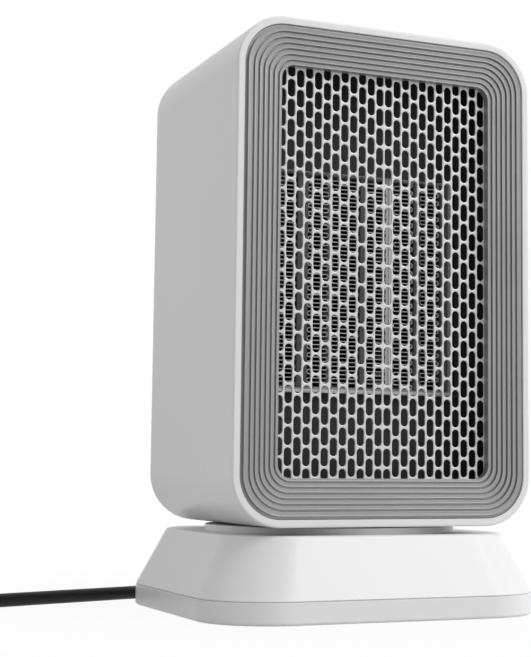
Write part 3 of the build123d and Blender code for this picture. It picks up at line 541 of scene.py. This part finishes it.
def cut_panel_seat(shell):
    """Sinks the control panel's seat into the top, with a way through for the buttons' stems."""
    panel_low, panel_high = box_mm("control_panel")
    middle = ((panel_low.x + panel_high.x) / 2, (panel_low.y + panel_high.y) / 2)
    half_x = (panel_high.x - panel_low.x) / 2 + slip
    half_y = (panel_high.y - panel_low.y) / 2 + slip
    above = head_high.z + PAST
    for inset, floor in ((0.0, head_high.z - panel_seat), (panel_ledge, head_high.z - PAST)):
        across, along = half_x - inset, half_y - inset
        radius = along - panel_flat
        cut(shell, [level_ring(across, along, radius, z, middle) for z in (floor, above)])


def make_head_shell():
    """The housing: a rounded rim, a long side, a full rear fillet and a ledged rear opening."""
    cover_low, cover_high = box_mm("rear_cover")
    cover_x = cover_high.x + slip
    cover_z = (cover_high.z - cover_low.z) / 2 + slip
    cover_deep = cover_high.y - cover_low.y
    inner_chamfer = 0.6 * (rear_round - shell_wall)

    def rear_ring(inset, y):
        """The rear opening's outline at depth y."""
        radius = cover_corner + slip - inset
        return facing_ring(cover_x - inset, cover_z - inset, radius, y, head_mid_z)

    rings = [head_ring(rim_width, head_front + rim_depth)]
    for c, s in arc(3, 180, 90):
        inset = rim_width - rim_inner_round * (1 + c)
        rings.append(head_ring(inset, head_front + rim_inner_round * (1 - s)))
    for c, s in arc(8, 90, 0):
        rings.append(head_ring(rim_round * (1 - c), head_front + rim_round * (1 - s)))
    for c, s in arc(14, 0, 90):
        rings.append(head_ring(rear_round * (1 - c), head_rear - rear_round * (1 - s)))
    for c, s in arc(3, 90, 0):
        rings.append(rear_ring(-rear_edge * (1 - c), head_rear - rear_edge * (1 - s)))
    rings += [
        rear_ring(0, head_rear - cover_deep),
        rear_ring(cover_ledge, head_rear - cover_deep),
        rear_ring(cover_ledge, head_rear - 2 * cover_deep),
        head_ring(shell_wall + inner_chamfer, head_rear - 2 * cover_deep),
        head_ring(shell_wall, head_rear - 2 * cover_deep - inner_chamfer),
        head_ring(shell_wall, head_front + rim_depth),
    ]
    material = materials["white_housing"]
    shell = skin("head_housing", rings, material, "head", ["head_shell"], closed=True)
    cut_panel_seat(shell)
    cut(shell, [round_ring(spindle_hole, z) for z in (head_low.z - PAST, head_low.z + PAST)])


# ---- Bezel ------------------------------------------------------------------------------------
bezel_low, bezel_high = box_mm("front_bezel")
band_count = 7
band_pitch = 2.34
first_groove = 7.03
groove_width = 0.85
bezel_edge = 4.6
bezel_proud = 0.7
band_step = 0.3
band_fall = 0.26
band_hollow = 0.03
band_round = 0.15
groove_deep = 1.3
moat_deep = 0.9
bezel_inset = rim_width + slip
window_inset = 20.41
window_corner = 6.0
window_lap = 2.3    # how far the bezel's frame behind the grille reaches into the window
grille_front = head_front + 5.0


def bezel_ring(inset, y):
    """The bezel's outline at depth y; its corners tighten towards the window."""
    share = (inset - rim_width) / (window_inset - rim_width)
    outer = head_corner - rim_width
    radius = outer + (window_corner - outer) * share
    return facing_ring(head_half_x - inset, head_half_z - inset, radius, y, head_mid_z)


def band_rings(outer, inner, face):
    """One band from its outer to its inner edge: small shoulders and a shallow hollow between them."""
    rings = []
    for c, s in arc(3, 180, 90):
        rings.append(bezel_ring(outer + band_round * (1 + c), face + band_round * (1 - s)))
    wide = inner - outer - 2 * band_round
    fall = band_fall * wide / band_pitch
    for step in range(1, 8):
        share = step / 8
        deep = face + fall * (1 - (1 - share) ** 2) + band_hollow * 4 * share * (1 - share)
        rings.append(bezel_ring(outer + band_round + wide * share, deep))
    for c, s in arc(3, 90, 0):
        rings.append(bezel_ring(inner - band_round * (1 - c), face + fall + band_round * (1 - s)))
    return rings


def make_bezel():
    """Seven bands with a groove between each, falling inwards from a moat along the rim."""
    grooves = [first_groove + band_pitch * i for i in range(band_count - 1)]
    edges = [bezel_edge] + [g + side * groove_width / 2 for g in grooves for side in (-1, 1)]
    edges.append(window_inset)
    moat = head_front + moat_deep
    moat_sides = ((bezel_inset, bezel_high.y), (bezel_inset, moat), (bezel_edge, moat))
    rings = [bezel_ring(inset, y) for inset, y in moat_sides]
    for band in range(band_count):
        outer, inner = edges[2 * band], edges[2 * band + 1]
        face = head_front - bezel_proud + band * band_step
        rings += band_rings(outer, inner, face)
        if band < band_count - 1:
            floor = face + groove_deep
            rings += [bezel_ring(inner, floor), bezel_ring(edges[2 * band + 2], floor)]
    rings.append(bezel_ring(window_inset, grille_front))
    rings.append(bezel_ring(window_inset - window_lap, grille_front))
    rings.append(bezel_ring(window_inset - window_lap, bezel_high.y))
    skin("bezel", rings, materials["silver_trim"], "head", ["front_bezel"], closed=True)


# ---- Grille -----------------------------------------------------------------------------------
slot_columns = 24
slot_column_pitch = 4.18
slot_row_pitch = 8.74
slot_width = 3.35
slot_height = 7.75
slot_round = 0.4
slot_overrun = 1.0    # how far the end rows run behind the bezel
plate_thickness = 0.7
plate_lap = 2.0
plate_corner = 4.0
plate_slip = 0.04


def slot_ring(x, low, high, grow, y):
    """A slot's outline with full round ends, grown by grow, at depth y."""
    radius = slot_width / 2
    wide = radius + grow
    points = []
    for middle, start in ((high - radius, 0), (low + radius, 180)):
        turns = arc(8, start, start + 180)
        points += [(x + wide * c, y, head_mid_z + middle + wide * s) for c, s in turns]
    return points


def slot_places():
    """Each slot's x, lowest and highest point from the head's middle; the halves mirror each other."""
    limit = head_half_z - window_inset + slot_overrun
    places = []
    for column in range(slot_columns // 2):
        x = (column + 0.5) * slot_column_pitch
        shift = 0.0 if column % 2 == 0 else slot_row_pitch / 2
        rows = int(limit / slot_row_pitch) + 1
        for row in range(-rows, rows + 1):
            middle = row * slot_row_pitch + shift
            low = max(middle - slot_height / 2, -limit)
            high = min(middle + slot_height / 2, limit)
            if high - low > slot_width:
                places += [(side * x, low, high) for side in (-1, 1)]
    return places


def loop_edges(start, count):
    """The edges of a closed loop of count points."""
    return [(start + i, start + (i + 1) % count) for i in range(count)]


def make_grille():
    """A thin plate pierced by upright slots with softly rolled edges."""
    front = grille_front + plate_slip
    back = front + plate_thickness
    half_x, half_z = (half - window_inset + plate_lap for half in (head_half_x, head_half_z))
    border = facing_ring(half_x, half_z, plate_corner, 0, head_mid_z)
    steps = [(slot_round * (1 - s), front + slot_round * (1 - c)) for c, s in arc(4, 0, 90)]
    steps.append((0.0, back))
    slots = slot_places()
    points = []
    faces = []
    # The front and the back face: the area between the border and the slots, filled with triangles.
    for grow, y in (steps[0], steps[-1]):
        flat = [(x, z) for x, _, z in border]
        owner = [0] * len(flat)
        edges = loop_edges(0, len(flat))
        for number, (x, low, high) in enumerate(slots, 1):
            ring = slot_ring(x, low, high, grow, 0)
            edges += loop_edges(len(flat), len(ring))
            flat += [(px, pz) for px, _, pz in ring]
            owner += [number] * len(ring)
        filled = delaunay_2d_cdt([Vector(p) for p in flat], edges, [], 1, 1e-5)
        start = len(points)
        points += [(p.x, y, p.y) for p in filled[0]]
        for triangle in filled[2]:
            owners = {owner[i] for i in triangle}
            if len(owners) > 1 or owners == {0}:
                faces.append(tuple(start + i for i in triangle))
    # The slots' walls, and the plate's own edge.
    walls = [[slot_ring(x, low, high, grow, y) for grow, y in steps] for x, low, high in slots]
    walls.append([[(x, y, z) for x, _, z in border] for y in (front, back)])
    for rings in walls:
        start = len(points)
        points += [p for ring in rings for p in ring]
        for face in ring_faces(len(rings), len(rings[0]), False):
            faces.append(tuple(start + i for i in face))
    make_mesh("grille", points, faces, materials["silver_grille"], "head", ["front_grille"], sharp=60)


# ---- Heating element --------------------------------------------------------------------------
core_low, core_high = box_mm("core_frame")
core_half = core_high.x - 2.2
core_corner = 0.25
side_wall = 0.3
ledge = 2.8
top_ledge = 0.5
rear_lip = 3.0
lip_slip = 0.1
bevel = 3.2
flange_edge = 0.2
flange_back = box_mm("heater_carrier")[0].y - 0.05
flange_front = flange_back - 0.9
flange_low = core_low.z - 1.6
flange_high = core_high.z - 2.1
core_floor = flange_low + ledge
core_roof = flange_high - top_ledge
gasket_lap = 0.3
gasket_thickness = 1.0
gasket_corner = 0.2
# Centre and width of each upright bar, from the left.
electrode_places = ((-41.4, 2.0), (-29.4, 5.2), (0.0, 3.5), (26.8, 3.4), (40.4, 3.9))
ceramic_places = ((-15.9, 1.3), (13.4, 3.3))
bar_chamfer = 0.25
ridge_half = 0.6
ridge_height = 1.2
ridge_slope = 0.1
fin_pitch = 1.85
fin_thickness = 0.36
fin_inset = 0.8
fin_slip = 0.05
# How far behind the fins' front edges their colour darkens, and the least share of it that stays:
# painted shade between the fins.
fin_shade_reach = 2.2
fin_shade_least = 0.04


def core_ring(inset, low, high, y):
    """The element's outline between two heights, inset at its sides, at depth y."""
    return facing_ring(core_half - inset, (high - low) / 2, core_corner, y, (high + low) / 2)


def make_core_frame():
    """The element's metal frame: a bevelled flange over its collar, and a lip low on its back."""
    low, high, edge = flange_low, flange_high, flange_edge
    lip_front = core_high.y - fin_inset + lip_slip
    rings = [
        core_ring(0, low, high, flange_back),
        core_ring(0, low, high, flange_front + edge),
        core_ring(edge, low + edge, high - edge, flange_front),
        core_ring(side_wall, core_floor, core_roof, flange_front + bevel),
        core_ring(side_wall, core_floor, core_roof, lip_front),
        core_ring(side_wall, core_floor + rear_lip, core_roof, lip_front),
        core_ring(side_wall, core_floor + rear_lip, core_roof, core_high.y),
        core_ring(0, core_low.z, high, core_high.y),
        core_ring(0, core_low.z, high, flange_back),
    ]
    skin("core_flange", rings, materials["core_metal"], "head", ["core_frame"], closed=True)


def make_gasket():
    """A dark strip that closes the gap above the frame."""
    half_z = (core_high.z - flange_high) / 2 + gasket_lap
    middle = (core_high.z + flange_high) / 2
    depths = (flange_back, flange_back + gasket_thickness)
    rings = [facing_ring(core_half, half_z, gasket_corner, y, middle) for y in depths]
    skin("core_gasket", rings, materials["carrier_black"], "head", capped=True)


def make_bars(name, node, places, material, ridged):
    """Upright bars between the fins, with chamfered edges or with a ridge down the middle."""
    points = []
    faces = []
    for centre, width in places:
        side = width / 2
        step = ridge_height if ridged else bar_chamfer
        crest = ridge_half if ridged else side - bar_chamfer
        foot = crest + ridge_slope
        shoulder = core_low.y + step
        outline = [
            (-side, shoulder), (-foot, shoulder), (-crest, core_low.y), (crest, core_low.y),
            (foot, shoulder), (side, shoulder), (side, core_high.y), (-side, core_high.y),
        ]
        start = len(points)
        for z in (core_floor, core_roof):
            points += [(centre + x, y, z) for x, y in outline]
        for face in ring_faces(2, len(outline), False) + cap_faces(2, len(outline)):
            faces.append(tuple(start + i for i in face))
    make_mesh(name, points, faces, materials[material], "head", [node])


def fin_line(left, right, low, high):
    """The folded strip's line: level legs joined by half-round turns, alternately left and right."""
    middle = []
    legs = round((high - low - fin_thickness) / fin_pitch)
    pitch = (high - low - fin_thickness) / legs
    turn = pitch / 2
    for leg in range(legs):
        side = 1 if leg % 2 == 0 else -1
        turn_x = right - turn if side > 0 else left + turn
        z = low + fin_thickness / 2 + (leg + 0.5) * pitch
        for c, s in arc(6, -90, 90):
            middle.append((turn_x + side * turn * c, z + turn * s))
    return middle


def make_fins():
    """Packs of folded strip that fill the space between each bar and the next."""
    bars = sorted(electrode_places + ceramic_places)
    room = fin_thickness / 2 + fin_slip
    points = []
    faces = []
    for (left, left_wide), (right, right_wide) in zip(bars, bars[1:]):
        ends = (left + left_wide / 2 + room, right - right_wide / 2 - room)
        line = fin_line(*ends, core_floor, core_roof)
        start = len(points)
        for i, (x, z) in enumerate(line):
            x0, z0 = line[max(i - 1, 0)]
            x1, z1 = line[min(i + 1, len(line) - 1)]
            long = math.hypot(x1 - x0, z1 - z0)
            nx = (z0 - z1) / long * fin_thickness / 2
            nz = (x1 - x0) / long * fin_thickness / 2
            for y in (core_low.y + fin_inset, core_high.y - fin_inset):
                points += [(x - nx, y, z - nz), (x + nx, y, z + nz)]
        for i in range(len(line) - 1):
            a = start + 4 * i
            b = a + 4
            faces += [(a, a + 1, b + 1, b), (a + 3, a + 2, b + 2, b + 3)]
            faces += [(a + 2, a, b, b + 2), (a + 1, a + 3, b + 3, b + 1)]
        last = start + 4 * (len(line) - 1)
        faces += [(start, start + 2, start + 3, start + 1), (last, last + 1, last + 3, last + 2)]
    make_mesh("fins", points, faces, materials["fin_aluminium"], "head", ["fin_packs"])


def paint_shade_inwards(material, front, reach, least):
    """Darkens a material's colour with depth as painted shade, from full at the front to its least
    share at the reach.
    """
    tree = material.node_tree
    colour = tree.nodes["Principled BSDF"].inputs["Base Color"]
    place = add_node(tree, "ShaderNodeTexCoord")
    split = add_node(tree, "ShaderNodeSeparateXYZ", links={"Vector": place.outputs["Object"]})
    depths = {"From Min": front * MM, "From Max": (front + reach) * MM, "To Min": 1.0, "To Max": least}
    fade = add_node(tree, "ShaderNodeMapRange", depths, {"Value": split.outputs["Y"]})
    scaled = add_node(tree, "ShaderNodeVectorMath")
    scaled.operation = "SCALE"
    tree.links.new(colour.links[0].from_socket, scaled.inputs[0])
    tree.links.new(fade.outputs["Result"], scaled.inputs["Scale"])
    tree.links.new(scaled.outputs["Vector"], colour)


def make_core():
    """The heating element behind the grille."""
    # The fins' colour is darkened with depth: painted shade in the space between them.
    paint_shade_inwards(materials["fin_aluminium"], core_low.y + fin_inset, fin_shade_reach, fin_shade_least)
    make_core_frame()
    make_gasket()
    make_bars("electrode_strips", "electrode_bars", electrode_places, "bar_aluminium", ridged=False)
    make_bars("ceramic_strips", "ceramic_bars", ceramic_places, "ceramic_bright", ridged=True)
    make_fins()


# ---- Base -------------------------------------------------------------------------------------
cover_high = box_mm("base_shell")[1]
plateau = cover_high.z
# Half width, half depth and corner radius of the base's foot and of its flat top.
base_half = (cover_high.x, cover_high.y, 32.0)
plateau_half = (65.3, 61.6, 26.0)
plateau_round = 1.6
plateau_flat = 8.0
pivot_hole = 18.56
base_wall = 2.4
seam = 0.3
seam_z = 9.75
seam_step = 0.3    # the small round on each side of the seam
seam_rise = 0.25
upstand = 0.7
upstand_high = 1.0
skirt_z = 0.25
foot_round = 1.4
foot_flat = 0.4
foot_recess = 3.2
underside = 0.8
floor_top = 3.0
plunger_room = 0.3
disc_hole = 23.65
disc_edge = 0.4
notch_slip = 0.1
notch_in = 9.0
notch_out = 4.0


def base_ring(inset, z):
    """The base's outline at height z, inset from its face: upright below the seam, sloped above."""
    share = max(0.0, z - seam_z) / (plateau - seam_z)
    half_x, half_y, radius = (a + (b - a) * share - inset for a, b in zip(base_half, plateau_half))
    return level_ring(half_x, half_y, radius, z)


def cut_lead_notch(piece):
    """Makes room for the strain relief's neck in the back wall."""
    x, _, z = relief_place
    ends = (cover_high.y - notch_in, cover_high.y + notch_out)
    cut(piece, [tube_ring((x, y, z), (0, 1), relief_neck + notch_slip) for y in ends])


def make_base_cover():
    """The sloped cover with a softly rounded upper edge and the pivot's hole."""
    run = base_half[0] - plateau_half[0]
    rise = plateau - seam_z
    lean = math.degrees(math.atan2(run, rise))
    foot = seam_z + seam / 2
    rings = [base_ring(base_wall, foot), base_ring(seam_step, foot), base_ring(0.0, foot + seam_rise)]
    reach = plateau_round * math.tan(math.radians((90 - lean) / 2))
    for c, s in arc(6, lean, 90):
        drop = plateau_round * (1 - s)
        rings.append(base_ring(reach - plateau_round * c + run * drop / rise, plateau - drop))
    rings += [
        base_ring(plateau_flat, plateau),
        level_ring(pivot_hole, pivot_hole, pivot_hole, plateau),
        level_ring(pivot_hole, pivot_hole, pivot_hole, plateau - base_wall),
        base_ring(base_wall, plateau - base_wall),
    ]
    material = materials["white_housing"]
    cut_lead_notch(skin("base_cover", rings, material, "base", ["base_shell"], closed=True))


def make_base_tray():
    """The band under the seam: a rounded foot, an upright wall and an upstand behind the seam."""
    head = seam_z - seam / 2
    rings = [base_ring(foot_recess, underside), base_ring(foot_round + foot_flat, skirt_z)]
    for c, s in arc(5, -90, 0):
        rings.append(base_ring(foot_round * (1 - c), skirt_z + foot_round * (1 + s)))
    rings += [
        base_ring(0.0, head - seam_rise),
        base_ring(seam_step, head),
        base_ring(upstand, head),
        base_ring(upstand, head + upstand_high),
        base_ring(base_wall, head + upstand_high),
        base_ring(base_wall, floor_top),
    ]
    tray = skin("base_pan", rings, materials["white_housing"], "base", ["base_tray"], capped=True)
    cut_lead_notch(tray)
    low, high = box_mm("tip_plunger")
    middle = ((low.x + high.x) / 2, (low.y + high.y) / 2)
    radius = (high.x - low.x) / 2 + plunger_room
    cut(tray, [round_ring(radius, z, middle, steps=32) for z in (underside - PAST, floor_top + PAST)])


def make_turntable():
    """The round plinth under the head, with a softened upper edge."""
    low, high = box_mm("turntable_disc")
    radius = high.x
    rings = [round_ring(disc_hole, low.z), round_ring(radius, low.z)]
    for c, s in arc(4, 0, 90):
        rings.append(round_ring(radius - disc_edge * (1 - c), high.z - disc_edge * (1 - s)))
    rings.append(round_ring(disc_hole, high.z))
    skin("turntable", rings, materials["white_housing"], "base", ["turntable_disc"], closed=True)


make_head_shell()
make_bezel()
make_grille()
make_core()
make_base_cover()
make_base_tray()
make_turntable()


# ---- Studio -----------------------------------------------------------------------------------
lamp_aim = (0, 0, 130)


def seen_by_eye(tree):
    """1 for what the camera sees, straight or in gloss or through a clear piece, and 0 for light."""
    path = add_node(tree, "ShaderNodeLightPath")
    total = path.outputs["Is Camera Ray"]
    for other in ("Is Glossy Ray", "Is Transmission Ray"):
        either = add_node(tree, "ShaderNodeMath", links={0: total, 1: path.outputs[other]})
        either.operation = "MAXIMUM"
        total = either.outputs["Value"]
    return total


def make_floor():
    """A pale floor that looks as white as the surround, and keeps a faint shadow."""
    half = 6000
    # How white the floor looks at a distance in metres: less so near the heater, for its shadow.
    near_white, near = 0.94, 0.12
    far_white, far = 1.0, 0.32
    corners = [(-half, -half, 0), (half, -half, 0), (half, half, 0), (-half, half, 0)]
    mesh = bpy.data.meshes.new("floor")
    mesh.from_pydata([Vector(p) * MM for p in corners], [], [(0, 1, 2, 3)])
    floor = placed("floor", mesh)
    paper = surface("floor_paper", grey(0.65), 0.9, vary=0.005, depth=0.02)
    tree = paper.node_tree
    place = add_node(tree, "ShaderNodeTexCoord")
    away = add_node(tree, "ShaderNodeVectorMath", links={0: place.outputs["Object"]})
    away.operation = "LENGTH"
    span = {"From Min": near, "From Max": far, "To Min": near_white, "To Max": far_white}
    pale = add_node(tree, "ShaderNodeMapRange", span, {"Value": away.outputs["Value"]})
    share = add_node(tree, "ShaderNodeMath", links={0: seen_by_eye(tree), 1: pale.outputs["Result"]})
    share.operation = "MULTIPLY"
    white = add_node(tree, "ShaderNodeEmission", {"Color": (1, 1, 1, 1), "Strength": 1.0})
    paint = tree.nodes["Principled BSDF"].outputs["BSDF"]
    mixed = {"Fac": share.outputs["Value"], 1: paint, 2: white.outputs["Emission"]}
    mix = add_node(tree, "ShaderNodeMixShader", links=mixed)
    tree.links.new(mix.outputs["Shader"], tree.nodes["Material Output"].inputs["Surface"])
    mesh.materials.append(paper)


def make_surround(strength):
    """A world that looks white and lights the heater evenly with the given strength."""
    world = bpy.data.worlds.new("surround")
    bpy.context.scene.world = world
    world.use_nodes = True
    tree = world.node_tree
    light = tree.nodes["Background"]
    light.inputs["Color"].default_value = (1, 1, 1, 1)
    light.inputs["Strength"].default_value = strength
    seen = add_node(tree, "ShaderNodeBackground", {"Color": (1, 1, 1, 1), "Strength": 1.0})
    mixed = {"Fac": seen_by_eye(tree), 1: light.outputs["Background"], 2: seen.outputs["Background"]}
    mix = add_node(tree, "ShaderNodeMixShader", links=mixed)
    tree.links.new(mix.outputs["Shader"], tree.nodes["World Output"].inputs["Surface"])


def make_lamp(name, place, size, power):
    """A square soft lamp aimed at the heater's middle."""
    data = bpy.data.lights.new(name, "AREA")
    data.size = size * MM
    data.energy = power
    lamp = placed(name, data)
    lamp.location = Vector(place) * MM
    aim = Vector(lamp_aim) * MM - lamp.location
    lamp.rotation_mode = "QUATERNION"
    lamp.rotation_quaternion = aim.to_track_quat("-Z", "Y")


make_floor()
make_surround(0.52)
make_lamp("key", (1100, -1200, 1500), 1200, 22.5)
make_lamp("right", (1600, -500, 500), 900, 5.0)
bpy.context.scene.view_settings.view_transform = "Standard"
